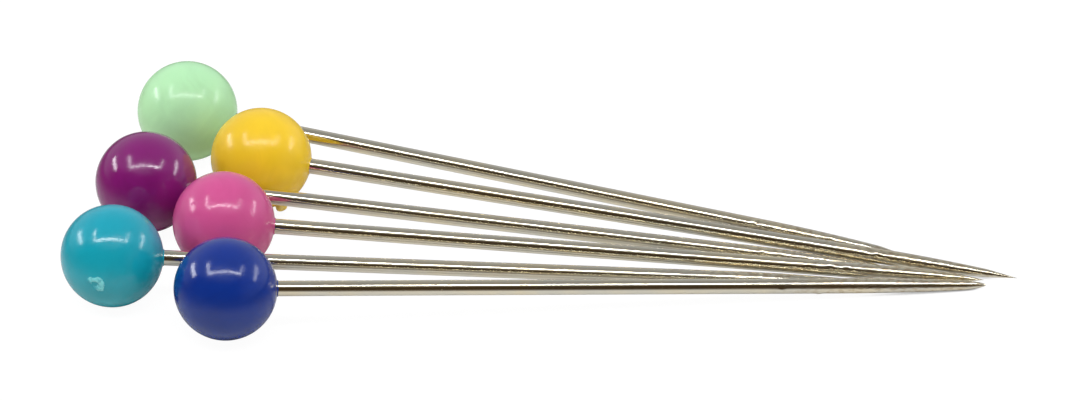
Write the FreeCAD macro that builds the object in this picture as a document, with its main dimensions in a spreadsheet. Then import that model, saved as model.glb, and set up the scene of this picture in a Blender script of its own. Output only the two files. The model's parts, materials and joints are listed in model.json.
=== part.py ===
"""Ball-head sewing pins: six loose pins lying side by side in a fan, points gathered at +X.

Each pin is two pieces: a plated steel wire ground to a point, and a plastic ball moulded over
the wire's grooved end. The pins rest on the plane Z = 0, the fan runs along +X with its blue
side towards -Y, and the origin is the middle of the whole fan on that plane. Millimetres.
"""
import FreeCAD, Part
import os
import Sketcher
from FreeCAD import Vector

COLOURS = ("green", "yellow", "purple", "pink", "teal", "blue")

# Sizes that all six pins share.
SHARED_SIZES = {
    "head_diameter": 4.0,
    "collar_height": 0.01,        # the ball's neck stands this far past the ball
    "collar_flare": 0.05,         # neck radius over the wire's, where it leaves the ball
    "collar_lip": 0.02,           # neck radius over the wire's, at its outer end
    "gate_diameter": 0.5,         # mould gate mark on the ball
    "wire_diameter": 0.6,
    "wire_length": 31.05,
    "butt_chamfer": 0.06,
    "point_length": 5.8,          # ground part of the wire
    "nose_length": 1.1,           # last, steeper cone
    "nose_diameter": 0.34,        # where that cone starts
    "grip_setback": 0.35,         # first grip groove, from the butt
    "grip_width": 0.25,
    "grip_depth": 0.05,
    "grip_pitch": 0.55,
    "lay_gap": 0.05,              # room left between neighbours as they lie
    "gather_back": 6.55,          # the wires are nearest this far from the pin's full length
}

# How each pin lies, in lanes: along and across place its ball, in pitches of a ball and a wire
# side by side; gather places its wire where the points come together, in pitches of a wire.
LAY = {
    "green": {"along": -0.62, "across": 1.46, "gather": 1.61},
    "yellow": {"along": 0.09, "across": 0.70, "gather": 0.15},
    "purple": {"along": -0.83, "across": 0.23, "gather": -0.53},
    "pink": {"along": -0.11, "across": -0.39, "gather": -1.64},
    "teal": {"along": -0.97, "across": -1.00, "gather": -2.44},
    "blue": {"along": 0.02, "across": -1.46, "gather": -3.40},
}

# How each ball was moulded: seat is how far the wire's butt passes the ball's centre, and the
# gate mark stands at an angle from the point's direction, turned by a roll about the wire.
MOULDING = {
    "green": {"seat": 1.3, "gate_angle": 130, "gate_roll": -95, "gate_height": 0.04},
    "yellow": {"seat": 0.7, "gate_angle": 59, "gate_roll": 154, "gate_height": 0.22},
    "purple": {"seat": 1.3, "gate_angle": 118, "gate_roll": -112, "gate_height": 0.04},
    "pink": {"seat": 1.3, "gate_angle": 104, "gate_roll": -78, "gate_height": 0.04},
    "teal": {"seat": 1.3, "gate_angle": 108, "gate_roll": 96, "gate_height": 0.05},
    "blue": {"seat": 1.3, "gate_angle": 115, "gate_roll": -120, "gate_height": 0.04},
}

HEAD_RADIUS = "Sizes.head_diameter / 2"
WIRE_RADIUS = "Sizes.wire_diameter / 2"
NOSE_RADIUS = "Sizes.nose_diameter / 2"
BALL_LANE = "(Sizes.head_diameter + Sizes.wire_diameter + 2 * Sizes.lay_gap)"
WIRE_LANE = "(Sizes.wire_diameter + Sizes.lay_gap)"
GATHER_X = "(Sizes.wire_length - Sizes.gather_back)"
GRIP_GROOVES = 2

doc = FreeCAD.newDocument("BallHeadPins")


# ---- sizes -------------------------------------------------------------------------------

def make_sheet():
    """Put every driving dimension in one sheet, each under its own alias."""
    sheet = doc.addObject("Spreadsheet::Sheet", "Sizes")
    sizes = dict(SHARED_SIZES)
    for colour in COLOURS:
        for table in (LAY, MOULDING):
            sizes.update({f"{colour}_{name}": value for name, value in table[colour].items()})
    for row, (alias, value) in enumerate(sizes.items(), start=1):
        sheet.set(f"A{row}", alias)
        sheet.set(f"B{row}", str(value))
        sheet.setAlias(f"B{row}", alias)
    doc.recompute()


def head_x(colour):
    return f"(Sizes.{colour}_along * {BALL_LANE})"


def head_y(colour):
    return f"(Sizes.{colour}_across * {BALL_LANE})"


def reach(colour):
    """Length from the ball's centre to the point."""
    return f"(Sizes.wire_length - Sizes.{colour}_seat)"


def yaw(colour):
    """Turn in plan that takes the wire through its place at the gather."""
    rise = f"Sizes.{colour}_gather * {WIRE_LANE} - {head_y(colour)}"
    return f"atan2({rise}; {GATHER_X} - {head_x(colour)})"


def dip(colour):
    """Downward tilt that lays the pin on its ball and the shoulder of its nose."""
    return f"asin(({HEAD_RADIUS} - {NOSE_RADIUS}) / ({reach(colour)} - Sizes.nose_length))"


def fan_middle():
    """Plan X of the fan's middle, from the rearmost ball (teal) to the foremost point (yellow)."""
    rear = f"{head_x('teal')} - {HEAD_RADIUS}"
    front = f"{head_x('yellow')} + {reach('yellow')} * cos({dip('yellow')}) * cos({yaw('yellow')})"
    return f"({rear} + {front}) / 2"


def pin_placement(colour, roll="0"):
    """Placement of a pin's own frame: origin at the ball's centre, +X towards the point."""
    base = f"vector({head_x(colour)} - {fan_middle()}; {head_y(colour)}; {HEAD_RADIUS})"
    return f"placement({base}; rotation({yaw(colour)}; {dip(colour)}; {roll}))"


# ---- sketch helpers ----------------------------------------------------------------------

ORIGIN = (-1, 1)
X_AXIS = -1
START, END, CENTRE = 1, 2, 3


def origin_plane(body, role):
    return next(item for item in body.Origin.OriginFeatures if item.Role == role)


def new_sketch(body, name):
    sketch = body.newObject("Sketcher::SketchObject", name)
    sketch.AttachmentSupport = [(origin_plane(body, "XY_Plane"), "")]
    sketch.MapMode = "FlatFace"
    return sketch


def add_line(sketch, start, end):
    return sketch.addGeometry(Part.LineSegment(Vector(*start, 0), Vector(*end, 0)), False)


def join(sketch, *pairs):
    for (first, first_end), (second, second_end) in pairs:
        sketch.addConstraint(Sketcher.Constraint("Coincident", first, first_end, second, second_end))


def bind(sketch, name, kind, geometry, value, expression):
    """Add a dimension to the sketch and tie it to the sheet."""
    index = sketch.addConstraint(Sketcher.Constraint(kind, *geometry, value))
    sketch.renameConstraint(index, name)
    sketch.setExpression(f"Constraints.{name}", expression)


def revolve(body, name, kind, sketch):
    feature = body.newObject(kind, name)
    feature.Profile = sketch
    feature.ReferenceAxis = (sketch, ["H_Axis"])
    feature.Angle = 360
    sketch.Visibility = False
    return feature


# ---- the wire ----------------------------------------------------------------------------

def wire_profile(body, colour):
    """Half outline of the wire: chamfered butt, straight shank, ground taper, conical nose."""
    sketch = new_sketch(body, f"{colour}_wire_profile")
    sizes = SHARED_SIZES
    radius, nose_radius = sizes["wire_diameter"] / 2, sizes["nose_diameter"] / 2
    chamfer = sizes["butt_chamfer"]
    butt = -MOULDING[colour]["seat"]
    point = butt + sizes["wire_length"]
    shank, nose = point - sizes["point_length"], point - sizes["nose_length"]
    face = add_line(sketch, (butt, 0), (butt, radius - chamfer))
    edge = add_line(sketch, (butt, radius - chamfer), (butt + chamfer, radius))
    side = add_line(sketch, (butt + chamfer, radius), (shank, radius))
    middle = Vector((shank + nose) / 2, (3 * radius + nose_radius) / 4, 0)
    taper = sketch.addGeometry(
        Part.Arc(Vector(nose, nose_radius, 0), middle, Vector(shank, radius, 0)), False)
    cone = add_line(sketch, (nose, nose_radius), (point, 0))
    axis = add_line(sketch, (point, 0), (butt, 0))
    join(sketch, ((face, END), (edge, START)), ((edge, END), (side, START)),
         ((taper, START), (cone, START)), ((cone, END), (axis, START)), ((axis, END), (face, START)))
    sketch.addConstraint(Sketcher.Constraint("Tangent", side, END, taper, END))
    sketch.addConstraint(Sketcher.Constraint("Vertical", face))
    sketch.addConstraint(Sketcher.Constraint("Horizontal", side))
    sketch.addConstraint(Sketcher.Constraint("PointOnObject", face, START, X_AXIS))
    sketch.addConstraint(Sketcher.Constraint("PointOnObject", cone, END, X_AXIS))
    bind(sketch, "seat", "DistanceX", (face, START, *ORIGIN), -butt, f"Sizes.{colour}_seat")
    bind(sketch, "reach", "DistanceX", (*ORIGIN, cone, END), point, reach(colour))
    bind(sketch, "radius", "DistanceY", (*ORIGIN, side, START), radius, WIRE_RADIUS)
    bind(sketch, "chamfer_along", "DistanceX", (edge, START, edge, END), chamfer, "Sizes.butt_chamfer")
    bind(sketch, "chamfer_in", "DistanceY", (edge, START, edge, END), chamfer, "Sizes.butt_chamfer")
    bind(sketch, "ground", "DistanceX", (side, END, cone, END), point - shank, "Sizes.point_length")
    bind(sketch, "nose", "DistanceX", (taper, START, cone, END), point - nose, "Sizes.nose_length")
    bind(sketch, "nose_radius", "DistanceY", (*ORIGIN, taper, START), nose_radius, NOSE_RADIUS)
    return sketch


def groove_profile(body, colour):
    """Section of the first grip groove, open past the wire's surface."""
    sketch = new_sketch(body, f"{colour}_grip_profile")
    sizes = SHARED_SIZES
    near = sizes["grip_setback"] - MOULDING[colour]["seat"]
    far = near + sizes["grip_width"]
    floor = sizes["wire_diameter"] / 2 - sizes["grip_depth"]
    top = floor + 3 * sizes["grip_depth"]
    corners = ((near, floor), (far, floor), (far, top), (near, top))
    bottom, right, upper, left = (
        add_line(sketch, corners[i], corners[(i + 1) % 4]) for i in range(4))
    join(sketch, ((bottom, END), (right, START)), ((right, END), (upper, START)),
         ((upper, END), (left, START)), ((left, END), (bottom, START)))
    for line in (bottom, upper):
        sketch.addConstraint(Sketcher.Constraint("Horizontal", line))
    for line in (right, left):
        sketch.addConstraint(Sketcher.Constraint("Vertical", line))
    bind(sketch, "setback", "DistanceX", (bottom, START, *ORIGIN), -near,
         f"Sizes.{colour}_seat - Sizes.grip_setback")
    bind(sketch, "width", "DistanceX", (bottom, START, bottom, END), far - near, "Sizes.grip_width")
    bind(sketch, "floor", "DistanceY", (*ORIGIN, bottom, START), floor,
         f"{WIRE_RADIUS} - Sizes.grip_depth")
    bind(sketch, "height", "DistanceY", (right, START, right, END), top - floor,
         "3 * Sizes.grip_depth")
    return sketch


def make_wire(colour):
    """Plated steel wire with grip grooves turned into the end that the ball holds."""
    body = doc.addObject("PartDesign::Body", f"{colour}_wire")
    body.Label = f"{colour}_wire"
    revolve(body, f"{colour}_wire_turned", "PartDesign::Revolution", wire_profile(body, colour))
    doc.recompute()
    uncut_volume = body.Shape.Volume
    groove = revolve(body, f"{colour}_grip", "PartDesign::Groove", groove_profile(body, colour))
    doc.recompute()
    one_groove = uncut_volume - body.Shape.Volume
    pattern = body.newObject("PartDesign::LinearPattern", f"{colour}_grips")
    pattern.Originals = [groove]
    pattern.Direction = (origin_plane(body, "X_Axis"), [""])
    pattern.Occurrences = GRIP_GROOVES
    pattern.setExpression("Length", f"{GRIP_GROOVES - 1} * Sizes.grip_pitch")
    body.Tip = pattern
    body.setExpression("Placement", pin_placement(colour))
    doc.recompute()
    cut = uncut_volume - body.Shape.Volume
    if one_groove <= 0 or abs(cut - GRIP_GROOVES * one_groove) > 0.01 * cut:
        raise RuntimeError(f"{colour}_wire: the grip grooves did not cut the wire")
    return body


# ---- the ball ----------------------------------------------------------------------------

def ball_profile(body, colour):
    """Half outline of the ball, with the little neck that the wire leaves by."""
    sketch = new_sketch(body, f"{colour}_ball_profile")
    sizes = SHARED_SIZES
    radius, wire_radius = sizes["head_diameter"] / 2, sizes["wire_diameter"] / 2
    neck_radius, lip_radius = wire_radius + sizes["collar_flare"], wire_radius + sizes["collar_lip"]
    neck_end = radius + sizes["collar_height"]
    leave = Vector((radius ** 2 - neck_radius ** 2) ** 0.5, neck_radius, 0)
    ball = sketch.addGeometry(
        Part.Arc(leave, Vector(0, radius, 0), Vector(-radius, 0, 0)), False)
    neck = add_line(sketch, (leave.x, leave.y), (neck_end, lip_radius))
    end = add_line(sketch, (neck_end, lip_radius), (neck_end, 0))
    axis = add_line(sketch, (neck_end, 0), (-radius, 0))
    join(sketch, ((ball, START), (neck, START)), ((neck, END), (end, START)),
         ((end, END), (axis, START)), ((axis, END), (ball, END)), ((ball, CENTRE), ORIGIN))
    sketch.addConstraint(Sketcher.Constraint("Vertical", end))
    sketch.addConstraint(Sketcher.Constraint("PointOnObject", ball, END, X_AXIS))
    sketch.addConstraint(Sketcher.Constraint("PointOnObject", end, END, X_AXIS))
    bind(sketch, "radius", "Radius", (ball,), radius, HEAD_RADIUS)
    bind(sketch, "neck_radius", "DistanceY", (*ORIGIN, ball, START), neck_radius,
         f"{WIRE_RADIUS} + Sizes.collar_flare")
    bind(sketch, "lip_radius", "DistanceY", (*ORIGIN, neck, END), lip_radius,
         f"{WIRE_RADIUS} + Sizes.collar_lip")
    bind(sketch, "neck_end", "DistanceX", (*ORIGIN, end, END), neck_end,
         f"{HEAD_RADIUS} + Sizes.collar_height")
    return sketch


def make_ball(colour):
    """The ball as moulded, still solid where the wire will be, with its gate mark."""
    body = doc.addObject("PartDesign::Body", f"{colour}_ball")
    revolve(body, f"{colour}_ball_turned", "PartDesign::Revolution", ball_profile(body, colour))
    gate = body.newObject("PartDesign::AdditiveCylinder", f"{colour}_gate")
    gate.AttachmentSupport = [(origin_plane(body, "XY_Plane"), "")]
    gate.MapMode = "FlatFace"
    gate.setExpression("Radius", "Sizes.gate_diameter / 2")
    gate.setExpression("Height", f"{HEAD_RADIUS} + Sizes.{colour}_gate_height")
    tilt = f"rotation(vector(0; 1; 0); 90 - Sizes.{colour}_gate_angle)"
    gate.setExpression("AttachmentOffset", f"placement(vector(0; 0; 0); {tilt})")
    body.Tip = gate
    body.setExpression("Placement", pin_placement(colour, roll=f"Sizes.{colour}_gate_roll"))
    return body


def make_head(colour, ball, wire):
    """The finished head: the ball with the wire's own form left out of it."""
    head = doc.addObject("Part::Cut", f"{colour}_head")
    head.Label = f"{colour}_head"
    head.Base = ball
    head.Tool = wire
    return head


# ---- checks and export -------------------------------------------------------------------

def check_document(nodes):
    """Stop if any object failed, or if a piece is not one sound solid."""
    for item in doc.Objects:
        if {"Invalid", "Error"} & set(item.State):
            raise RuntimeError(f"{item.Name} failed: {item.State}")
    for node in nodes:
        shape = node.Shape
        if shape.isNull() or not shape.isValid() or len(shape.Solids) != 1:
            raise RuntimeError(f"{node.Label} is not one valid solid")


def export(nodes):
    os.makedirs("parts", exist_ok=True)
    for node in nodes:
        node.Shape.exportStep(f"parts/{node.Label}.step")
        print(f"{node.Label}: {node.Shape.Volume:.3f} mm3")


make_sheet()
pieces = []
for pin in COLOURS:
    pin_wire = make_wire(pin)
    pin_ball = make_ball(pin)
    pieces += [make_head(pin, pin_ball, pin_wire), pin_wire]
doc.recompute()
check_document(pieces)
export(pieces)
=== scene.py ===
"""Six ball-head sewing pins lying in a fan on a pale table.

Each pin is a plated steel wire, ground to a point, with a glossy plastic ball moulded over its
grooved end. Every pin is modelled about its own axis, with +X towards the point and the origin
at the middle of the ball, and is then put where its point and direction say. Metres.
"""
import json
import math

import bpy
from bpy.props import FloatProperty, FloatVectorProperty, IntProperty, PointerProperty
from bpy.types import Operator, Panel, PropertyGroup
from mathutils import Matrix, Vector


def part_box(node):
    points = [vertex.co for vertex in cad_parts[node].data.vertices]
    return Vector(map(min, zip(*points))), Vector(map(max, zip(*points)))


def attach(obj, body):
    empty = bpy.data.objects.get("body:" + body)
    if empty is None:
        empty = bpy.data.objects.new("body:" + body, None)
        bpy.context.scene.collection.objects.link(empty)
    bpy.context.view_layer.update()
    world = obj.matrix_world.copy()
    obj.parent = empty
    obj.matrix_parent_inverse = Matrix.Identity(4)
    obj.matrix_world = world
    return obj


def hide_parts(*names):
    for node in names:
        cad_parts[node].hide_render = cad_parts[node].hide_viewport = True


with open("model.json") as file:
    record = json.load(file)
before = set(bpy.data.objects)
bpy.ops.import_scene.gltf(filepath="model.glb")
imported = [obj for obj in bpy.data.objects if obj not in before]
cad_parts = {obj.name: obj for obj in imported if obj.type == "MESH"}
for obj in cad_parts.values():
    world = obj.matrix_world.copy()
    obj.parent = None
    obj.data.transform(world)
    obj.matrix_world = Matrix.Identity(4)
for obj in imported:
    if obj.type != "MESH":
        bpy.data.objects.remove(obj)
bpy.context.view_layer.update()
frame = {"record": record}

bl_info = {
    "name": "Ball-head sewing pins",
    "version": (1, 0, 0),
    "blender": (4, 5, 0),
    "location": "View3D > Sidebar > Sewing pins",
    "description": "Plated wire pins with moulded ball heads, lying in a fan",
    "category": "Add Mesh",
}

MM = 0.001
COLOURS = ("green", "yellow", "purple", "pink", "teal", "blue")
RECORD = frame["record"]
GRIP_GROOVES = 2
STUB_PIN = "yellow"           # the pin whose gate left a stub, where the others have a torn ring
STUB_SCAR = 1.16              # its scar's radius over a torn ring's
SMOOTH_ANGLE = math.radians(38)

# The stub's steps, from the ball outwards: millimetres of rise, and width over the step before.
STUB_STEPS = ((0.03, 1.02), (0.08, 1.02), (0.07, 0.94), (0.05, 0.82), (0.03, 0.58))

# The waves cover all of a ball's skin behind one place. In front of it they begin clear of the
# neck and take a short way to rise.
WAVES_BEHIND = -1.6 * MM
WAVES_CLEAR = 0.03 * MM
WAVES_RISE = 0.7 * MM

# How each ball was moulded. Seat is how far the wire's butt passes the ball's middle. The gate
# mark stands at an angle from the point's direction, turned by a roll about the wire. Opening is
# where its torn ring is open. Lumps is the size of the ball's slight waves. Dull is how much rougher
# than plain its skin came out of the mould, and sheen is the strength of its reflections.
MOULDING = {
    "green": {"seat": 1.3, "gate_angle": 130, "gate_roll": -95, "opening": 40, "lumps": 1.30,
              "dull": 1.30, "sheen": 0.34},
    "yellow": {"seat": 0.7, "gate_angle": 59, "gate_roll": 154, "opening": 0, "lumps": 1.05,
               "dull": 1.30, "sheen": 0.36},
    "purple": {"seat": 1.3, "gate_angle": 118, "gate_roll": -112, "opening": 200, "lumps": 0.92,
               "dull": 0.94, "sheen": 0.55},
    "pink": {"seat": 1.3, "gate_angle": 104, "gate_roll": -78, "opening": 120, "lumps": 0.84,
             "dull": 1.08, "sheen": 0.46},
    "teal": {"seat": 1.3, "gate_angle": 108, "gate_roll": 96, "opening": 315, "lumps": 1.17,
             "dull": 1.00, "sheen": 0.50},
    "blue": {"seat": 1.3, "gate_angle": 115, "gate_roll": -120, "opening": 300, "lumps": 1.42,
             "dull": 1.06, "sheen": 0.46},
}

# How each wire was ground: nose is the length and radius of its last cone, in millimetres, blunt
# below 1 rounds it, and pits seeds the grain of its plating.
GRINDING = {
    "green": {"nose": (1.1, 0.170), "blunt": 1.00, "pits": 3},
    "yellow": {"nose": (1.2, 0.160), "blunt": 1.00, "pits": 8},
    "purple": {"nose": (1.0, 0.175), "blunt": 0.90, "pits": 13},
    "pink": {"nose": (1.1, 0.168), "blunt": 0.92, "pits": 21},
    "teal": {"nose": (1.1, 0.170), "blunt": 1.00, "pits": 34},
    "blue": {"nose": (0.75, 0.188), "blunt": 0.55, "pits": 55},
}

# Nodules on the plating: millimetres from the point, degrees from the top towards -Y, and height
# in millimetres.
NODULES = {
    "green": ((6.2, 37, 0.028), (6.0, 52, 0.018), (3.1, 34, 0.012)),
    "yellow": ((5.5, 38, 0.024), (5.2, 50, 0.022), (5.8, 62, 0.016), (3.3, 45, 0.014)),
    "purple": ((5.3, 37, 0.026), (4.6, 30, 0.012)),
    "pink": ((6.9, 40, 0.024), (6.0, 38, 0.026), (5.7, 50, 0.020), (5.4, 33, 0.024),
             (5.1, 44, 0.016)),
    "teal": ((5.7, 200, 0.020), (4.8, 40, 0.016)),
    "blue": ((8.1, 92, 0.012), (6.6, 150, 0.014)),
}

# Small pimples on the balls: direction from the ball's middle in the pin's own frame, and height.
SPECKS = {
    "green": (((0.25, -0.78, 0.58), 0.004),),
    "purple": (((0.72, 0.06, 0.69), 0.010),),
    "pink": (((-0.60, -0.47, 0.645), 0.008), ((-0.49, -0.50, 0.71), 0.004)),
}


def record_colour(slot):
    return next(entry["base_color"] for entry in RECORD["materials"] if entry["slot"] == slot)


def length(name, description, millimetres):
    return FloatProperty(
        name=name, description=description, default=millimetres * MM, min=0.0,
        precision=5, subtype="DISTANCE", unit="LENGTH")


def colour(name, description, default):
    return FloatVectorProperty(
        name=name, description=description, default=default, min=0.0, max=1.0, size=3,
        subtype="COLOR")


def amount(name, description, default, high=1.0):
    return FloatProperty(name=name, description=description, default=default, min=0.0, max=high)


def turn(name, description, degrees):
    return FloatProperty(
        name=name, description=description, default=math.radians(degrees), subtype="ANGLE",
        unit="ROTATION")


# ---- what a user would change ------------------------------------------------------------


class PinSizes(PropertyGroup):
    """Sizes that all the pins share."""

    head_diameter: length("Ball", "Diameter of the plastic ball", 4.0)
    neck_height: length("Neck height", "How far the neck stands past the ball", 0.01)
    neck_flare: length("Neck flare", "Neck radius over the wire's, where it leaves the ball", 0.05)
    neck_lip: length("Neck lip", "Neck radius over the wire's, at its outer end", 0.02)
    bore_room: length("Bore room", "Radius of the bore over the wire's", 0.0015)
    wave_height: length("Waves", "Height of the slight waves that moulding leaves", 0.009)
    gate_radius: length("Gate radius", "Radius of the mark left by the mould's gate", 0.25)
    wire_diameter: length("Wire", "Diameter of the wire", 0.6)
    wire_length: length("Wire length", "Length of the wire, from butt to point", 31.05)
    butt_chamfer: length("Butt chamfer", "Chamfer at the end inside the ball", 0.06)
    point_length: length("Ground length", "Length of the ground part of the wire", 5.8)
    tip_diameter: length("Tip diameter", "Diameter left at the very point", 0.012)
    grip_setback: length("Grip setback", "First grip groove, from the butt", 0.35)
    grip_width: length("Grip width", "Width of a grip groove", 0.25)
    grip_depth: length("Grip depth", "Depth of a grip groove", 0.05)
    grip_pitch: length("Grip pitch", "Distance from one grip groove to the next", 0.55)
    pitted_length: length("Pitted length", "Length of rough plating behind the point", 9.5)
    pit_height: length("Pit height", "Height of the grains in the rough plating", 0.002)
    ball_sides: IntProperty(name="Ball sides", description="Faces round a ball", default=96, min=16)
    wire_sides: IntProperty(name="Wire sides", description="Faces round a wire", default=40, min=8)


class PinFinish(PropertyGroup):
    """Colours and gloss of the plastics and the plating."""

    green: colour("Green", "Mint green plastic", record_colour("green_plastic"))
    yellow: colour("Yellow", "Warm yellow plastic", record_colour("yellow_plastic"))
    purple: colour("Purple", "Red purple plastic", record_colour("purple_plastic"))
    pink: colour("Pink", "Rose pink plastic", record_colour("pink_plastic"))
    teal: colour("Teal", "Teal plastic", record_colour("teal_plastic"))
    blue: colour("Blue", "Deep blue plastic", record_colour("blue_plastic"))
    plating: colour("Plating", "Nickel plating", record_colour("plated_wire"))
    tarnish: colour("Tarnish", "Brown in the pits of the plating", (0.42, 0.27, 0.11))
    plastic_roughness: amount("Plastic roughness", "Roughness of the moulded balls", 0.155)
    plastic_depth: amount("Plastic depth", "Light that passes under the plastic's skin", 0.15)
    plating_roughness: amount("Plating roughness", "Roughness of the plating", 0.10)


class StageLook(PropertyGroup):
    """Camera, table and light tent."""

    azimuth: turn("Azimuth", "Turn of the camera round the pins", 4.08)
    elevation: turn("Elevation", "Height of the camera over the table", 30.13)
    distance: length("Distance", "From the camera to its target", 300.0)
    lens: FloatProperty(
        name="Lens", description="Focal length of the camera", default=251.5, min=1.0,
        unit="CAMERA")
    table_size: length("Table", "Side of the table", 2600.0)
    tent_height: length("Tent height", "Height of the lamp strips over the table", 400.0)
    bar_strength: amount("Front bar", "Radiance of the lamp strip in front", 21.0, 100.0)
    side_strength: amount("Side strips", "Radiance of the lamp strips at the sides", 12.5, 100.0)
    fill_strength: amount("Fill", "Radiance of the soft fill lamp overhead", 4.05, 100.0)
    wall_strength: amount("Wall strips", "Radiance of the lamp strips on the walls", 10.5, 100.0)


# ---- modelling helpers -------------------------------------------------------------------


def start_fresh():
    """Leave edit mode and deselect all, so an operator acts only on what is made next."""
    if bpy.context.object and bpy.context.object.mode != "OBJECT":
        bpy.ops.object.mode_set(mode="OBJECT")
    bpy.ops.object.select_all(action="DESELECT")


def pick(piece, kind, wanted):
    """Select the vertices or faces of the piece being edited whose place is wanted."""
    bpy.ops.object.mode_set(mode="OBJECT")
    mesh = piece.data
    for part in (mesh.vertices, mesh.edges, mesh.polygons):
        part.foreach_set("select", [False] * len(part))
    count = 0
    if kind == "VERT":
        for vertex in mesh.vertices:
            vertex.select = bool(wanted(vertex.co))
            count += vertex.select
    else:
        for face in mesh.polygons:
            face.select = bool(wanted(face.center))
            count += face.select
    bpy.ops.object.mode_set(mode="EDIT")
    bpy.ops.mesh.select_mode(type=kind)
    if not count:
        raise RuntimeError(f"{piece.name}: nothing to select")


def push_disc(place, radius, next_place, next_radius):
    """Extrude the selected disc along X to its next place, and draw it in or out."""
    bpy.ops.mesh.extrude_region_move(
        TRANSFORM_OT_translate={"value": (next_place - place, 0.0, 0.0)})
    if next_radius != radius:
        ratio = next_radius / radius
        bpy.ops.transform.resize(value=(1.0, ratio, ratio))


def push_along(stations):
    """Carry the selected disc through a row of (place, radius)."""
    for (place, radius), (next_place, next_radius) in zip(stations, stations[1:]):
        push_disc(place, radius, next_place, next_radius)


def pull(direction, distance, reach=None):
    """Move the selection along a direction, drawing its surroundings along within reach."""
    value = tuple(Vector(direction) * distance)
    if reach:
        bpy.ops.transform.translate(
            value=value, use_proportional_edit=True, proportional_edit_falloff="SMOOTH",
            proportional_size=reach)
    else:
        bpy.ops.transform.translate(value=value)


def copy_of(piece, name):
    """A copy of a piece with its own mesh."""
    start_fresh()
    piece.select_set(True)
    bpy.context.view_layer.objects.active = piece
    bpy.ops.object.duplicate(linked=False)
    twin = bpy.context.object
    twin.name = name
    twin.data.name = name
    return twin


def remove(piece):
    start_fresh()
    piece.select_set(True)
    bpy.ops.object.delete()


def keep_places(piece, name, place_of):
    """Keep each vertex's own place, in millimetres, for the pattern of its material."""
    kept = piece.data.attributes.new(name, "FLOAT_VECTOR", "POINT")
    for vertex, entry in zip(piece.data.vertices, kept.data):
        entry.vector = place_of(vertex.co) / MM


def pin_place(pin, sizes):
    """Where a pin lies: its origin at the ball's middle, +X towards its point."""
    mount = next(entry for entry in RECORD["mounts"] if entry["name"] == f"{pin}_point")
    ahead = Vector(mount["axis"]).normalized()
    reach = sizes.wire_length - MOULDING[pin]["seat"] * MM
    middle = Vector(mount["pos_m"]) - ahead * reach
    across = Vector((-ahead.y, ahead.x, 0.0)).normalized()
    place = Matrix((ahead, across, ahead.cross(across))).transposed().to_4x4()
    place.translation = middle
    return place


def lay_down(piece, pin, sizes):
    """Put a piece modelled in its pin's frame where the pin lies, and apply that to its mesh."""
    start_fresh()
    piece.select_set(True)
    bpy.context.view_layer.objects.active = piece
    bpy.ops.object.shade_smooth_by_angle(angle=SMOOTH_ANGLE)
    piece.matrix_world = pin_place(pin, sizes)
    bpy.ops.object.transform_apply(location=True, rotation=True, scale=True)


# ---- shader helpers ----------------------------------------------------------------------


def add_node(tree, kind, inputs=None, **settings):
    """Add a node with its settings, and link or set the inputs that are given."""
    made = tree.nodes.new(kind)
    for name, value in settings.items():
        setattr(made, name, value)
    for name, value in (inputs or {}).items():
        if isinstance(value, bpy.types.NodeSocket):
            tree.links.new(value, made.inputs[name])
        else:
            made.inputs[name].default_value = value
    return made


def calc(tree, operation, *values):
    return add_node(tree, "ShaderNodeMath", dict(enumerate(values)), operation=operation).outputs[0]


def vector_calc(tree, operation, *values):
    made = add_node(tree, "ShaderNodeVectorMath", dict(enumerate(values)), operation=operation)
    return made.outputs["Value" if operation in ("LENGTH", "DOT_PRODUCT") else "Vector"]


def ramp(tree, value, start, end, low=0.0, high=1.0):
    """Smooth step from low to high while the value goes from start to end."""
    inputs = {"Value": value, "From Min": start, "From Max": end, "To Min": low, "To Max": high}
    return add_node(
        tree, "ShaderNodeMapRange", inputs, interpolation_type="SMOOTHSTEP").outputs["Result"]


def blend_colours(tree, factor, first, second):
    made = tree.nodes.new("ShaderNodeMix")
    made.data_type = "RGBA"
    for index, value in ((0, factor), (6, first), (7, second)):
        if isinstance(value, bpy.types.NodeSocket):
            tree.links.new(value, made.inputs[index])
        else:
            made.inputs[index].default_value = value
    return made.outputs[2]


def noise(tree, place, scale, detail=2.0, roughness=0.5, distortion=0.0):
    inputs = {"Vector": place, "Scale": scale, "Detail": detail, "Roughness": roughness,
              "Distortion": distortion}
    return add_node(tree, "ShaderNodeTexNoise", inputs).outputs["Fac"]


def stretched(tree, place, factors):
    inputs = {"Vector": place, "Scale": factors}
    return add_node(tree, "ShaderNodeMapping", inputs).outputs["Vector"]


def new_group(name, inputs, outputs):
    """Start a shader group with its sockets: (kind, name, default)."""
    group = bpy.data.node_groups.new(name, "ShaderNodeTree")
    for kind, label, default in inputs:
        socket = group.interface.new_socket(
            name=label, in_out="INPUT", socket_type=f"NodeSocket{kind}")
        socket.default_value = default
    for kind, label in outputs:
        group.interface.new_socket(name=label, in_out="OUTPUT", socket_type=f"NodeSocket{kind}")
    given = group.nodes.new("NodeGroupInput").outputs
    result = group.nodes.new("NodeGroupOutput")
    return group, given, result


def send(group, result, outputs):
    for name, socket in outputs.items():
        group.links.new(socket, result.inputs[name])


def rgba(values, factor=1.0):
    return tuple(min(1.0, value * factor) for value in values) + (1.0,)


def bleached(values):
    """The paler tint of torn plastic."""
    return tuple(value ** 0.3 for value in values)


# ---- materials ---------------------------------------------------------------------------


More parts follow.
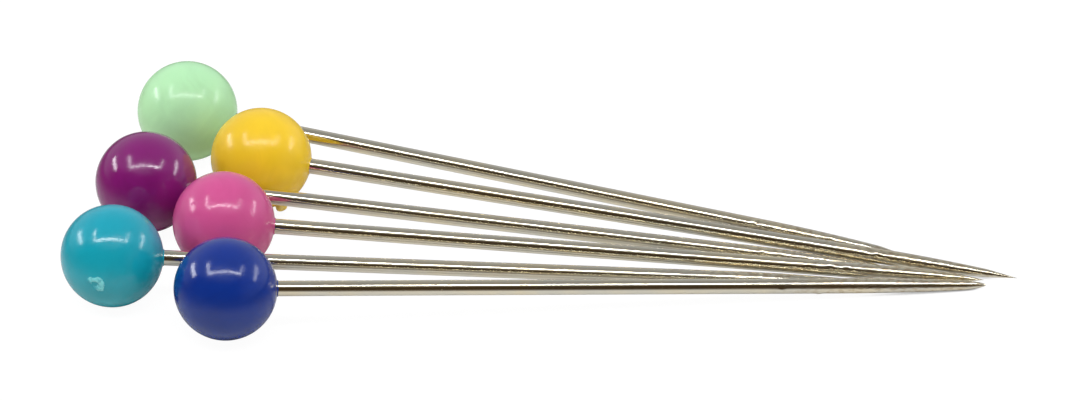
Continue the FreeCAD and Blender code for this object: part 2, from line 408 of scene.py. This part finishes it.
def moulded_skin():
    """Skin of a moulded ball: cloudy tint, orange peel, dust, scuffs and the torn gate mark."""
    group, given, result = new_group(
        "Moulded skin",
        [("Vector", "Place", (0.0, 0.0, 0.0)),
         ("Color", "Tint", (0.5, 0.5, 0.5, 1.0)),
         ("Color", "Deep tint", (0.4, 0.4, 0.4, 1.0)),
         ("Color", "Torn tint", (0.8, 0.8, 0.8, 1.0)),
         ("Vector", "Gate", (0.0, 0.0, 2.0)),
         ("Vector", "Gate opening", (1.0, 0.0, 0.0)),
         ("Float", "Gate radius", 0.25),
         ("Vector", "Shift", (0.0, 0.0, 0.0)),
         ("Float", "Roughness", 0.12)],
        [("Color", "Colour"), ("Float", "Roughness"), ("Float", "Height")])
    place = vector_calc(group, "ADD", given["Place"], given["Shift"])
    cloud = ramp(group, noise(group, place, 0.55, 3.0, 0.55, 1.2), 0.34, 0.68)
    scuff_place = stretched(group, place, (0.9, 5.5, 2.4))
    scuffs = ramp(group, noise(group, scuff_place, 2.6, 4.0, 0.62), 0.60, 0.78)
    dust_cell = add_node(group, "ShaderNodeTexVoronoi", {"Vector": place, "Scale": 2.4})
    dust_size = ramp(group, dust_cell.outputs["Color"], 0.80, 1.0, 0.0, 0.085)
    dust = ramp(group, calc(group, "SUBTRACT", dust_size, dust_cell.outputs["Distance"]), 0.0, 0.03)

    from_gate = vector_calc(group, "SUBTRACT", given["Place"], given["Gate"])
    wobble = calc(group, "MULTIPLY_ADD", noise(group, place, 5.0, 2.0), 0.30, -0.15)
    ring_place = calc(group, "ADD", vector_calc(group, "LENGTH", from_gate), wobble)
    off_ring = calc(group, "ABSOLUTE", calc(group, "SUBTRACT", ring_place, given["Gate radius"]))
    ring = ramp(group, off_ring, 0.16, 0.08)
    toward_gap = vector_calc(group, "DOT_PRODUCT", from_gate, given["Gate opening"])
    torn = calc(group, "MULTIPLY", ring, ramp(group, toward_gap, 0.16, 0.02))
    inside = ramp(group, ring_place, 0.26, 0.16)
    blotches = ramp(group, noise(group, place, 8.0, 2.0), 0.36, 0.56, 0.35, 0.9)

    tinted = blend_colours(group, cloud, given["Tint"], given["Deep tint"])
    pale = calc(group, "MULTIPLY", dust, 0.10)
    dusty = blend_colours(group, pale, tinted, given["Torn tint"])
    tint = blend_colours(group, calc(group, "MULTIPLY", torn, blotches), dusty, given["Torn tint"])

    patches = ramp(group, noise(group, place, 0.9, 2.0), 0.35, 0.7, -0.02, 0.05)
    gloss = calc(group, "ADD", given["Roughness"], patches)
    gloss = calc(group, "MULTIPLY_ADD", scuffs, 0.02, gloss)
    gloss = calc(group, "MULTIPLY_ADD", torn, 0.30, gloss)
    gloss = calc(group, "MULTIPLY_ADD", inside, 0.10, gloss)

    peel = noise(group, place, 1.9, 1.5, 0.5)
    grain = calc(group, "MULTIPLY_ADD", noise(group, place, 9.5, 1.0), 0.55, peel)
    scuffed = calc(group, "MULTIPLY_ADD", scuffs, -0.004, grain)
    specked = calc(group, "MULTIPLY_ADD", dust, 0.08, scuffed)
    height = calc(group, "MULTIPLY_ADD", torn, 0.9, specked)
    send(group, result, {"Colour": tint, "Roughness": gloss, "Height": height})
    return group


def plated_skin():
    """Skin of plated wire: draw lines all along it, and grainy, pitted plating near the point."""
    group, given, result = new_group(
        "Plated skin",
        [("Vector", "Place from point", (0.0, 0.0, 0.0)),
         ("Color", "Plating", (0.6, 0.6, 0.5, 1.0)),
         ("Color", "Bright plating", (0.8, 0.7, 0.6, 1.0)),
         ("Color", "Tarnish", (0.2, 0.1, 0.05, 1.0)),
         ("Float", "Pitted length", 9.5),
         ("Float", "Roughness", 0.1)],
        [("Color", "Colour"), ("Float", "Roughness"), ("Float", "Height")])
    place = given["Place from point"]
    along = add_node(group, "ShaderNodeSeparateXYZ", {"Vector": place}).outputs["X"]
    lines = noise(group, stretched(group, place, (0.16, 9.0, 9.0)), 1.6, 3.0, 0.6)
    stains = noise(group, stretched(group, place, (0.35, 1.0, 1.0)), 0.9, 3.0, 0.6, 0.6)
    ragged = calc(group, "MULTIPLY_ADD", stains, 5.0, -2.5)
    near = ramp(group, calc(group, "ADD", along, ragged), given["Pitted length"],
                calc(group, "MULTIPLY", given["Pitted length"], 0.45))
    grains = noise(group, stretched(group, place, (0.6, 1.0, 1.0)), 7.5, 2.0, 0.6)
    pits = ramp(group, grains, 0.50, 0.40)
    crests = ramp(group, grains, 0.55, 0.66)
    rough_pits = calc(group, "MULTIPLY", pits, near)
    stray = add_node(
        group, "ShaderNodeTexVoronoi",
        {"Vector": stretched(group, place, (0.7, 1.0, 1.0)), "Scale": 3.2})
    stray_size = ramp(group, stray.outputs["Color"], 0.72, 1.0, 0.0, 0.15)
    stray_pit = ramp(group, calc(group, "SUBTRACT", stray_size, stray.outputs["Distance"]), 0.0, 0.05)

    toned = blend_colours(group, ramp(group, stains, 0.35, 0.7), given["Plating"],
                          given["Bright plating"])
    crest_share = calc(group, "MULTIPLY", crests, calc(group, "MULTIPLY", near, 0.7))
    bright = blend_colours(group, crest_share, toned, given["Bright plating"])
    dark_share = calc(group, "MAXIMUM", calc(group, "MULTIPLY", rough_pits, 0.45),
                      calc(group, "MULTIPLY", stray_pit, 0.45))
    tint = blend_colours(group, dark_share, bright, given["Tarnish"])

    gloss = calc(group, "MULTIPLY_ADD", lines, 0.10, given["Roughness"])
    gloss = calc(group, "MULTIPLY_ADD", near, 0.04, gloss)
    gloss = calc(group, "MULTIPLY_ADD", rough_pits, 0.06, gloss)
    gloss = calc(group, "MULTIPLY_ADD", stray_pit, 0.15, gloss)

    height = calc(group, "MULTIPLY", lines, 0.18)
    height = calc(group, "MULTIPLY_ADD", calc(group, "MULTIPLY", grains, near), 2.8, height)
    height = calc(group, "MULTIPLY_ADD", stray_pit, -0.35, height)
    send(group, result, {"Colour": tint, "Roughness": gloss, "Height": height})
    return group


def surface(name, place_name, group, place_socket, values, bump_height):
    """A material with one skin group feeding its Principled shader."""
    material = bpy.data.materials.new(name)
    material.use_nodes = True
    tree = material.node_tree
    tree.nodes.clear()
    place = add_node(tree, "ShaderNodeAttribute", attribute_name=place_name)
    skin = tree.nodes.new("ShaderNodeGroup")
    skin.node_tree = group
    tree.links.new(place.outputs["Vector"], skin.inputs[place_socket])
    for socket, value in values.items():
        skin.inputs[socket].default_value = value
    bump = add_node(tree, "ShaderNodeBump", {
        "Height": skin.outputs["Height"], "Strength": 1.0, "Distance": bump_height})
    shader = add_node(tree, "ShaderNodeBsdfPrincipled", {
        "Base Color": skin.outputs["Colour"], "Roughness": skin.outputs["Roughness"],
        "Normal": bump.outputs["Normal"]})
    add_node(tree, "ShaderNodeOutputMaterial", {"Surface": shader.outputs["BSDF"]})
    return material, shader


def gate_direction(pin):
    """Direction of the gate mark from the ball's middle, in the pin's own frame."""
    angle = math.radians(MOULDING[pin]["gate_angle"])
    roll = math.radians(MOULDING[pin]["gate_roll"])
    return Vector((
        math.cos(angle), -math.sin(angle) * math.sin(roll), math.sin(angle) * math.cos(roll)))


def opening_direction(pin):
    """Direction across the gate mark in which its torn ring is open."""
    out = gate_direction(pin)
    side = out.cross(Vector((0.0, 0.0, 1.0))).normalized()
    upward = side.cross(out)
    angle = math.radians(MOULDING[pin]["opening"])
    return side * math.cos(angle) + upward * math.sin(angle)


def plastic(pin, group, finish, sizes):
    tint = tuple(getattr(finish, pin))
    order = COLOURS.index(pin)
    values = {
        "Tint": rgba(tint, 1.02),
        "Deep tint": rgba(tint, 0.95),
        "Torn tint": rgba(bleached(tint)),
        "Gate": gate_direction(pin) * (sizes.head_diameter / 2 / MM),
        "Gate opening": opening_direction(pin) if pin != STUB_PIN else (0.0, 0.0, 0.0),
        "Gate radius": sizes.gate_radius / MM * (STUB_SCAR if pin == STUB_PIN else 1.0),
        "Shift": (order * 7.3, order * 3.1, order * 5.7),
        "Roughness": finish.plastic_roughness * MOULDING[pin]["dull"],
    }
    material, shader = surface(
        f"{pin} moulded plastic", "ball_place", group, "Place", values, 0.0045 * MM)
    shader.inputs["IOR"].default_value = 1.53
    shader.inputs["Specular IOR Level"].default_value = MOULDING[pin]["sheen"]
    shader.inputs["Subsurface Weight"].default_value = finish.plastic_depth
    shader.inputs["Subsurface Radius"].default_value = (1.0, 0.8, 0.7)
    shader.inputs["Subsurface Scale"].default_value = 0.35 * MM
    return material


def plating(group, finish, sizes):
    tone = tuple(finish.plating)
    values = {
        "Plating": rgba(tone),
        "Bright plating": rgba((tone[0] * 1.12, tone[1] * 1.05, tone[2] * 0.92)),
        "Tarnish": rgba(tuple(finish.tarnish)),
        "Pitted length": sizes.pitted_length / MM,
        "Roughness": finish.plating_roughness,
    }
    material, shader = surface(
        "plated wire", "wire_place", group, "Place from point", values, 0.004 * MM)
    shader.inputs["Metallic"].default_value = 1.0
    return material


# ---- the wires ---------------------------------------------------------------------------


def ground_radius(from_point, pin, sizes):
    """Radius of a pin's wire at a distance from its point."""
    radius = sizes.wire_diameter / 2
    nose, shoulder = (value * MM for value in GRINDING[pin]["nose"])
    if from_point >= sizes.point_length:
        return radius
    if from_point >= nose:
        run, drop = sizes.point_length - nose, radius - shoulder
        sweep = (run ** 2 + drop ** 2) / (2 * drop)
        inward = sizes.point_length - from_point
        return radius - (sweep - math.sqrt(sweep ** 2 - inward ** 2))
    return max(sizes.tip_diameter / 2, shoulder * (from_point / nose) ** GRINDING[pin]["blunt"])


def shank_stations(sizes):
    """(distance from the butt, radius) from the butt to where the rough plating begins."""
    radius, chamfer = sizes.wire_diameter / 2, sizes.butt_chamfer
    stations = [(0.0, radius - chamfer), (chamfer, radius)]
    for groove in range(GRIP_GROOVES):
        near = sizes.grip_setback + groove * sizes.grip_pitch
        far = near + sizes.grip_width
        floor = radius - sizes.grip_depth
        stations += [(near, radius), (near, floor), (far, floor), (far, radius)]
    last, end = stations[-1][0], sizes.wire_length - sizes.pitted_length
    steps = round((end - last) / (0.6 * MM))
    stations += [(last + (end - last) * step / steps, radius) for step in range(1, steps + 1)]
    return stations


def point_stations(pin, sizes):
    """(distance from the butt, radius) over the rough plating, to the point."""
    steps = round(sizes.pitted_length / (0.075 * MM))
    stations = []
    for step in range(steps + 1):
        left = sizes.pitted_length * (1 - step / steps)
        stations.append((sizes.wire_length - left, ground_radius(left, pin, sizes)))
    return stations


def model_shank(sizes):
    """The plain part of a wire in its pin's frame, butt at X = 0."""
    stations = shank_stations(sizes)
    start_fresh()
    bpy.ops.mesh.primitive_circle_add(
        vertices=sizes.wire_sides, radius=stations[0][1], fill_type="NGON",
        rotation=(0.0, math.pi / 2, 0.0))
    wire = bpy.context.object
    wire.name = "plain_wire"
    bpy.ops.object.transform_apply(location=True, rotation=True, scale=True)
    bpy.ops.object.mode_set(mode="EDIT")
    bpy.ops.mesh.select_mode(type="FACE")
    bpy.ops.mesh.select_all(action="SELECT")
    push_along(stations)
    bpy.ops.object.mode_set(mode="OBJECT")
    return wire


def grind_point(wire, pin, sizes):
    """Carry this wire on to its own point, with the grain and nodules of its plating."""
    stations = point_stations(pin, sizes)
    start, end = stations[0][0], stations[-1][0]
    pick(wire, "FACE", lambda co: co.x > start - 0.01 * MM)
    push_along(stations)
    bpy.ops.mesh.select_all(action="SELECT")
    bpy.ops.mesh.normals_make_consistent(inside=False)
    for share, height in ((0.98, 0.3), (0.80, 0.3), (0.62, 0.5), (0.40, 0.4)):
        reach = end - sizes.pitted_length * share
        pick(wire, "VERT", lambda co: reach < co.x < end - 0.2 * MM)
        bpy.ops.transform.vertex_random(
            offset=sizes.pit_height * height, normal=1.0, seed=GRINDING[pin]["pits"])
    for from_point, around, height in NODULES[pin]:
        angle = math.radians(around)
        out = Vector((0.0, -math.sin(angle), math.cos(angle)))
        place = out * ground_radius(from_point * MM, pin, sizes)
        place.x = end - from_point * MM
        pick(wire, "VERT", lambda co: (co - place).length < 0.06 * MM)
        pull(out, 1.5 * height * MM, 0.12 * MM)
    bpy.ops.object.mode_set(mode="OBJECT")


class PINS_OT_make_wires(Operator):
    """Model the plated wires, ground to a point and grooved at the butt"""

    bl_idname = "pins.make_wires"
    bl_label = "Make wires"

    def execute(self, context):
        sizes, finish = context.scene.pin_sizes, context.scene.pin_finish
        material = plating(plated_skin(), finish, sizes)
        plain = model_shank(sizes)
        for order, pin in enumerate(COLOURS):
            wire = copy_of(plain, f"{pin}_pin_wire")
            grind_point(wire, pin, sizes)
            point = Vector((sizes.wire_length, -3.0 * MM * order, 0.0))
            keep_places(wire, "wire_place", lambda co: Vector((point.x - co.x, co.y - point.y, co.z)))
            start_fresh()
            wire.select_set(True)
            context.view_layer.objects.active = wire
            wire.location = (-MOULDING[pin]["seat"] * MM, 0.0, 0.0)
            bpy.ops.object.transform_apply(location=True, rotation=True, scale=True)
            lay_down(wire, pin, sizes)
            wire.data.materials.append(material)
            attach(wire, f"{pin}_pin")
            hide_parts(f"{pin}_wire")
        remove(plain)
        return {"FINISHED"}


# ---- the balls ---------------------------------------------------------------------------


def neck_and_bore(sizes, seat):
    """(place, radius) from the ball's skin over the neck, and down the blind bore."""
    wire, ball = sizes.wire_diameter / 2, sizes.head_diameter / 2
    flare, lip = wire + sizes.neck_flare, wire + sizes.neck_lip
    neck_end = ball + sizes.neck_height
    leave = math.sqrt(ball ** 2 - flare ** 2)
    stations = []
    for share in (0.0, 0.3, 0.6, 0.85, 1.0):
        draw = (1 - share) ** 2
        stations.append((leave + (neck_end - leave) * share, lip + (flare - lip) * draw))
    bore, edge = wire + sizes.bore_room, 0.012 * MM
    stations += [(neck_end + edge * 0.4, lip - edge), (neck_end, bore + edge)]
    stations.append((neck_end - edge, bore))
    butt = -seat
    for groove in reversed(range(GRIP_GROOVES)):
        near = butt + sizes.grip_setback + groove * sizes.grip_pitch
        far = near + sizes.grip_width
        ridge = bore - sizes.grip_depth
        stations += [(far, bore), (far, ridge), (near, ridge), (near, bore)]
    stations += [(butt + sizes.butt_chamfer, bore), (butt, bore - sizes.butt_chamfer)]
    return stations


def model_ball(sizes, seat):
    """One plain ball in its pin's frame, with its neck and the blind bore for the wire."""
    ball = sizes.head_diameter / 2
    rings = sizes.ball_sides * 2 // 3
    start_fresh()
    bpy.ops.mesh.primitive_uv_sphere_add(
        segments=sizes.ball_sides, ring_count=rings, radius=ball,
        rotation=(0.0, math.pi / 2, 0.0))
    piece = bpy.context.object
    piece.name = "plain_ball"
    bpy.ops.object.transform_apply(location=True, rotation=True, scale=True)
    stations = neck_and_bore(sizes, seat)
    ring = 180 / rings
    skirt = math.radians(ring * math.ceil(math.degrees(math.asin(stations[0][1] / ball)) / ring))
    bpy.ops.object.mode_set(mode="EDIT")
    pick(piece, "FACE", lambda co: co.x > ball * math.cos(skirt - math.radians(ring / 4)))
    bpy.ops.mesh.extrude_region_move(TRANSFORM_OT_translate={"value": (0.0, 0.0, 0.0)})
    place, radius = stations[0]
    ratio = radius / (ball * math.sin(skirt))
    bpy.ops.transform.resize(value=(0.0, ratio, ratio), center_override=(place, 0.0, 0.0))
    push_along(stations)
    bpy.ops.mesh.select_all(action="SELECT")
    bpy.ops.mesh.normals_make_consistent(inside=False)
    bpy.ops.object.mode_set(mode="OBJECT")
    return piece


def skin_share(co, sizes):
    """1 on the ball's skin, falling to 0 at the neck; 0 on the neck and in the bore."""
    if co.x < WAVES_BEHIND:
        return 1.0
    neck = sizes.wire_diameter / 2 + sizes.neck_flare
    return min(1.0, max(0.0, (math.hypot(co.y, co.z) - neck - WAVES_CLEAR) / WAVES_RISE))


def wave_skin(piece, pin, sizes):
    """Give the ball's skin the slight waves that moulding and cooling leave."""
    skin = piece.vertex_groups.new(name="skin")
    for vertex in piece.data.vertices:
        skin.add([vertex.index], skin_share(vertex.co, sizes), "REPLACE")
    waves = bpy.data.textures.new(f"{pin} waves", "CLOUDS")
    waves.noise_scale = MOULDING[pin]["lumps"] * MM
    waves.noise_depth = 1
    start_fresh()
    piece.select_set(True)
    bpy.context.view_layer.objects.active = piece
    bpy.ops.object.modifier_add(type="DISPLACE")
    displace = piece.modifiers[-1]
    displace.texture = waves
    displace.texture_coords = "LOCAL"
    displace.strength = sizes.wave_height
    displace.mid_level = 0.5
    displace.vertex_group = skin.name
    bpy.ops.object.modifier_apply(modifier=displace.name)
    piece.vertex_groups.clear()
    bpy.data.textures.remove(waves)


def refine(piece, middle, reach, cuts):
    """Divide the faces round a place on the skin, keeping the skin round."""
    pick(piece, "FACE", lambda co: (co - middle).length < reach)
    bpy.ops.mesh.subdivide(number_cuts=cuts, smoothness=1.0)


def tear_gate(piece, pin, sizes):
    """Leave the low torn ring where the gate broke off the ball."""
    out = gate_direction(pin)
    middle = out * (sizes.head_diameter / 2)
    gap = opening_direction(pin)
    ring = sizes.gate_radius
    refine(piece, middle, 2.4 * ring, 3)

    def on_ring(co):
        offset = co - middle
        far = offset.length
        return 0.78 * ring < far < 1.15 * ring and offset.normalized().dot(gap) < 0.45

    pick(piece, "VERT", on_ring)
    pull(out, 0.022 * MM, 0.10 * MM)
    bpy.ops.transform.vertex_random(offset=0.018 * MM, normal=0.7, seed=len(pin))
    pick(piece, "VERT", lambda co: (co - middle).length < 0.4 * ring)
    pull(out, -0.02 * MM, 0.12 * MM)


def break_nub(piece, pin, sizes):
    """Leave the short stub of a gate that broke away from the ball."""
    out = gate_direction(pin)
    middle = out * (sizes.head_diameter / 2)
    refine(piece, middle, 2.0 * sizes.gate_radius, 3)
    pick(piece, "FACE", lambda co: (co - middle).length < 0.84 * sizes.gate_radius)
    for rise, ratio in STUB_STEPS:
        bpy.ops.mesh.extrude_region_move(
            TRANSFORM_OT_translate={"value": tuple(out * (rise * MM))})
        bpy.ops.transform.resize(value=(ratio, ratio, ratio))
    pick(piece, "VERT", lambda co: co.dot(out) > sizes.head_diameter / 2 + 0.05 * MM
         and (co - out * co.dot(out)).length < sizes.gate_radius)
    bpy.ops.transform.vertex_random(offset=0.006 * MM, normal=0.3, seed=4)


def raise_specks(piece, pin, sizes):
    """Raise the ball's few small pimples."""
    for direction, height in SPECKS.get(pin, ()):
        out = Vector(direction).normalized()
        middle = out * (sizes.head_diameter / 2)
        refine(piece, middle, 0.16 * MM, 3)
        pick(piece, "VERT", lambda co: (co - middle).length < 0.035 * MM)
        pull(out, height * MM, 0.07 * MM)


class PINS_OT_make_balls(Operator):
    """Model the moulded balls with their necks, bores, waves and gate marks"""

    bl_idname = "pins.make_balls"
    bl_label = "Make balls"

    def execute(self, context):
        sizes, finish = context.scene.pin_sizes, context.scene.pin_finish
        skin = moulded_skin()
        plain_seat = MOULDING["green"]["seat"] * MM
        plain = model_ball(sizes, plain_seat)
        for pin in COLOURS:
            piece = copy_of(plain, f"{pin}_ball_head")
            wave_skin(piece, pin, sizes)
            shallower = plain_seat - MOULDING[pin]["seat"] * MM
            if shallower:
                wire = sizes.wire_diameter / 2
                pick(piece, "VERT", lambda co: co.x < 0.6 * MM
                     and co.x > -plain_seat - 0.01 * MM
                     and math.hypot(co.y, co.z) < 1.02 * wire)
                pull((1.0, 0.0, 0.0), shallower)
            if pin == STUB_PIN:
                break_nub(piece, pin, sizes)
            else:
                tear_gate(piece, pin, sizes)
            raise_specks(piece, pin, sizes)
            bpy.ops.object.mode_set(mode="OBJECT")
            keep_places(piece, "ball_place", Vector)
            lay_down(piece, pin, sizes)
            piece.data.materials.append(plastic(pin, skin, finish, sizes))
            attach(piece, f"{pin}_pin")
            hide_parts(f"{pin}_head")
        remove(plain)
        return {"FINISHED"}


# ---- the stage ---------------------------------------------------------------------------

LAMP_TONE = (0.97, 0.985, 1.0)
GLOOM_TONE = (1.0, 0.66, 0.34)
WHITE = (1.0, 1.0, 1.0)
TABLE_TONE = (0.90, 0.84, 0.73)             # as it lights the pins
TABLE_IN_GLOSS = (0.62, 0.62, 0.63)         # as the pins reflect it
# Painted shade: the table's dark tone in reflections at a glancing angle.
TABLE_PAINTED_SHADE_AT_GRAZING = (0.06, 0.045, 0.03)
SEEN_TONES = ((0.06, 0.06, 0.06), (0.07, 0.07, 0.07))
CAMERA_TARGET = (-0.516 * MM, 4.177 * MM, 0.0)
CAMERA_SENSOR = 36.0


def lamp_strip(name, start, end, width, radiance, target):
    """A soft lamp strip from start to end, facing the target."""
    start, end = Vector(start), Vector(end)
    middle, run = (start + end) / 2, end - start
    along = run.normalized()
    facing = target - middle
    facing = (facing - along * facing.dot(along)).normalized()
    upward = (-facing).cross(along)
    turned = Matrix((along, upward, -facing)).transposed().to_4x4()
    turned.translation = middle
    bpy.ops.object.light_add(type="AREA")
    lamp = bpy.context.object
    lamp.name = name
    lamp.matrix_world = turned
    lamp.data.shape = "RECTANGLE"
    lamp.data.size = run.length
    lamp.data.size_y = width
    lamp.data.energy = radiance * math.pi * run.length * width
    lamp.data.color = LAMP_TONE
    lamp.visible_camera = False
    return lamp


def light_tent(look):
    """World of a small light tent: pale cloth all round, open in front, white to the camera."""
    world = bpy.data.worlds.new("Light tent")
    bpy.context.scene.world = world
    world.use_nodes = True
    tree = world.node_tree
    tree.nodes.clear()
    coordinates = tree.nodes.new("ShaderNodeTexCoord")
    turned = add_node(tree, "ShaderNodeMapping", {
        "Vector": coordinates.outputs["Generated"], "Rotation": (0.0, 0.0, -look.azimuth)})
    direction = add_node(tree, "ShaderNodeSeparateXYZ", {"Vector": turned.outputs["Vector"]})
    side, away, up = (direction.outputs[axis] for axis in "XYZ")
    level = calc(tree, "SQRT", calc(tree, "ADD", calc(tree, "MULTIPLY", side, side),
                                    calc(tree, "MULTIPLY", away, away)))
    front = calc(tree, "DIVIDE", calc(tree, "MULTIPLY", away, -1.0),
                 calc(tree, "MAXIMUM", level, 0.001))
    lit_side = ramp(tree, side, 0.35, 0.95, 0.0, 0.26)
    wall = calc(tree, "ADD", ramp(tree, front, -0.62, 0.30, 0.55, 0.05), lit_side)
    brim = ramp(tree, front, -0.2, 0.8, 0.50, 0.72)
    roof_share = ramp(tree, calc(tree, "SUBTRACT", up, brim), -0.10, 0.12)
    roof = ramp(tree, up, 0.55, 1.0, 0.47, 0.32)
    cloth = add_node(tree, "ShaderNodeMix", {0: roof_share, 2: wall, 3: roof}).outputs[0]
    gloom = ramp(tree, cloth, 0.35, 0.08)
    tone = blend_colours(tree, gloom, rgba(LAMP_TONE), rgba(GLOOM_TONE))
    ray = tree.nodes.new("ShaderNodeLightPath")
    strength = calc(tree, "MULTIPLY_ADD", ray.outputs["Is Diffuse Ray"], 0.12, cloth)
    tent = add_node(tree, "ShaderNodeBackground", {"Color": tone, "Strength": strength})
    seen = add_node(tree, "ShaderNodeBackground", {"Color": rgba(WHITE), "Strength": 1.0})
    mixed = add_node(tree, "ShaderNodeMixShader", {
        0: ray.outputs["Is Camera Ray"], 1: tent.outputs[0], 2: seen.outputs[0]})
    add_node(tree, "ShaderNodeOutputWorld", {"Surface": mixed.outputs[0]})


def table_top(look):
    """Plain pale table, close to white for the camera, with only faint shadows and painted shade."""
    start_fresh()
    bpy.ops.mesh.primitive_plane_add(size=look.table_size, location=(0.0, 0.0, -0.05 * MM))
    table = bpy.context.object
    table.name = "table"
    material = bpy.data.materials.new("pale table")
    material.use_nodes = True
    tree = material.node_tree
    tree.nodes.clear()
    place = tree.nodes.new("ShaderNodeTexCoord").outputs["Object"]
    grain = noise(tree, place, 900.0, 2.0)
    ray = tree.nodes.new("ShaderNodeLightPath")
    paper = blend_colours(
        tree, ray.outputs["Is Glossy Ray"], rgba(TABLE_TONE), rgba(TABLE_IN_GLOSS))
    cloth = add_node(tree, "ShaderNodeBsdfDiffuse", {"Color": paper})
    # Painted shade: as the pins reflect it, the table darkens towards a glancing angle.
    shade = add_node(tree, "ShaderNodeBsdfDiffuse", {"Color": rgba(TABLE_PAINTED_SHADE_AT_GRAZING)})
    facing = add_node(tree, "ShaderNodeLayerWeight", {"Blend": 0.5}).outputs["Facing"]
    painted_grazing_shade = calc(tree, "MULTIPLY", ramp(tree, facing, 0.42, 0.92, 0.0, 0.95),
                   ray.outputs["Is Glossy Ray"])
    real = add_node(tree, "ShaderNodeMixShader", {
        0: painted_grazing_shade, 1: cloth.outputs[0], 2: shade.outputs[0]})
    # Painted shade: near the points, ambient occlusion dims the camera-seen emission in the narrow
    # slits between the wires.
    along = add_node(tree, "ShaderNodeSeparateXYZ", {"Vector": place}).outputs["X"]
    painted_shade_zone = ramp(tree, along, 4.0 * MM, 9.0 * MM)
    painted_shade_occlusion = add_node(tree, "ShaderNodeAmbientOcclusion", {"Distance": 0.3 * MM}).outputs["AO"]
    glow_less_painted_shade = calc(tree, "MULTIPLY_ADD", calc(tree, "MULTIPLY", ramp(tree, painted_shade_occlusion, 0.42, 0.15),
                                           painted_shade_zone), -0.60, 0.96)
    seen_tone = blend_colours(tree, grain, *(rgba(tone) for tone in SEEN_TONES))
    seen = add_node(tree, "ShaderNodeBsdfPrincipled", {
        "Base Color": seen_tone, "Roughness": 0.9, "Emission Color": rgba(WHITE),
        "Emission Strength": glow_less_painted_shade, "Specular IOR Level": 0.0})
    mixed = add_node(tree, "ShaderNodeMixShader", {
        0: ray.outputs["Is Camera Ray"], 1: real.outputs[0], 2: seen.outputs[0]})
    add_node(tree, "ShaderNodeOutputMaterial", {"Surface": mixed.outputs[0]})
    table.data.materials.append(material)


def set_camera(look):
    turned, raised = look.azimuth, look.elevation
    back = Vector((math.sin(turned) * math.cos(raised), -math.cos(turned) * math.cos(raised),
                   math.sin(raised)))
    bpy.ops.object.camera_add(location=Vector(CAMERA_TARGET) + back * look.distance)
    camera = bpy.context.object
    camera.name = "camera"
    camera.rotation_mode = "QUATERNION"
    camera.rotation_quaternion = (-back).to_track_quat("-Z", "Y")
    camera.data.lens = look.lens
    camera.data.sensor_width = CAMERA_SENSOR
    camera.data.clip_start = 0.01
    camera.data.clip_end = 5.0
    bpy.context.scene.camera = camera


class PINS_OT_set_stage(Operator):
    """Set the pale table, the light tent with its lamp strips, and the camera"""

    bl_idname = "pins.set_stage"
    bl_label = "Set stage"

    def execute(self, context):
        look = context.scene.stage_look
        start_fresh()
        light_tent(look)
        table_top(look)
        balls = [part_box(f"{pin}_head") for pin in COLOURS]
        corners = [Vector(corner) for ball in balls for corner in ball]
        middle = sum(corners, Vector()) / len(corners)
        tent = Matrix.Translation(middle) @ Matrix.Rotation(look.azimuth, 4, "Z")
        reach = look.tent_height
        strips = (
            ("front_bar", (-0.66, -0.41, 1.0), (0.70, -0.40, 1.0), 0.06, look.bar_strength),
            ("left_strip", (-0.717, -0.43, 1.0), (-0.60, 0.17, 1.0), 0.08, look.side_strength),
            ("right_strip", (0.706, -0.40, 1.0), (0.695, 0.06, 1.0), 0.09,
             look.side_strength * 0.5),
            ("left_wall_strip", (-1.0, -0.03, 0.48), (-1.0, 0.60, 0.515), 0.14,
             look.wall_strength),
            ("right_wall_strip", (1.0, -0.15, 0.41), (1.0, 0.46, 0.55), 0.11,
             look.wall_strength * 0.75),
        )
        for name, start, end, width, radiance in strips:
            lamp_strip(name, tent @ (Vector(start) * reach), tent @ (Vector(end) * reach),
                       width * reach, radiance, middle)
        fill = lamp_strip("fill", tent @ Vector((-0.3 * reach, -0.5 * reach, reach)),
                          tent @ Vector((0.3 * reach, -0.5 * reach, reach)), 0.5 * reach,
                          look.fill_strength, middle)
        fill.visible_glossy = False
        set_camera(look)
        context.scene.view_settings.view_transform = "Standard"
        return {"FINISHED"}


# ---- the add-on --------------------------------------------------------------------------


class PINS_PT_sewing_pins(Panel):
    """Sewing pins"""

    bl_idname = "PINS_PT_sewing_pins"
    bl_label = "Ball-head sewing pins"
    bl_space_type = "VIEW_3D"
    bl_region_type = "UI"
    bl_category = "Sewing pins"

    def draw(self, context):
        layout = self.layout
        for operator in OPERATORS:
            layout.operator(operator.bl_idname)
        for group in ("pin_sizes", "pin_finish", "stage_look"):
            settings = getattr(context.scene, group)
            box = layout.box()
            for name in settings.__annotations__:
                box.prop(settings, name)


OPERATORS = (PINS_OT_make_wires, PINS_OT_make_balls, PINS_OT_set_stage)
SETTINGS = {"pin_sizes": PinSizes, "pin_finish": PinFinish, "stage_look": StageLook}
CLASSES = (*SETTINGS.values(), *OPERATORS, PINS_PT_sewing_pins)


def register():
    for entry in CLASSES:
        bpy.utils.register_class(entry)
    for name, group in SETTINGS.items():
        setattr(bpy.types.Scene, name, PointerProperty(type=group))


def unregister():
    for name in SETTINGS:
        delattr(bpy.types.Scene, name)
    for entry in reversed(CLASSES):
        bpy.utils.unregister_class(entry)


def main():
    register()
    bpy.ops.pins.make_wires()
    bpy.ops.pins.make_balls()
    bpy.ops.pins.set_stage()


if __name__ == "__main__":
    main()
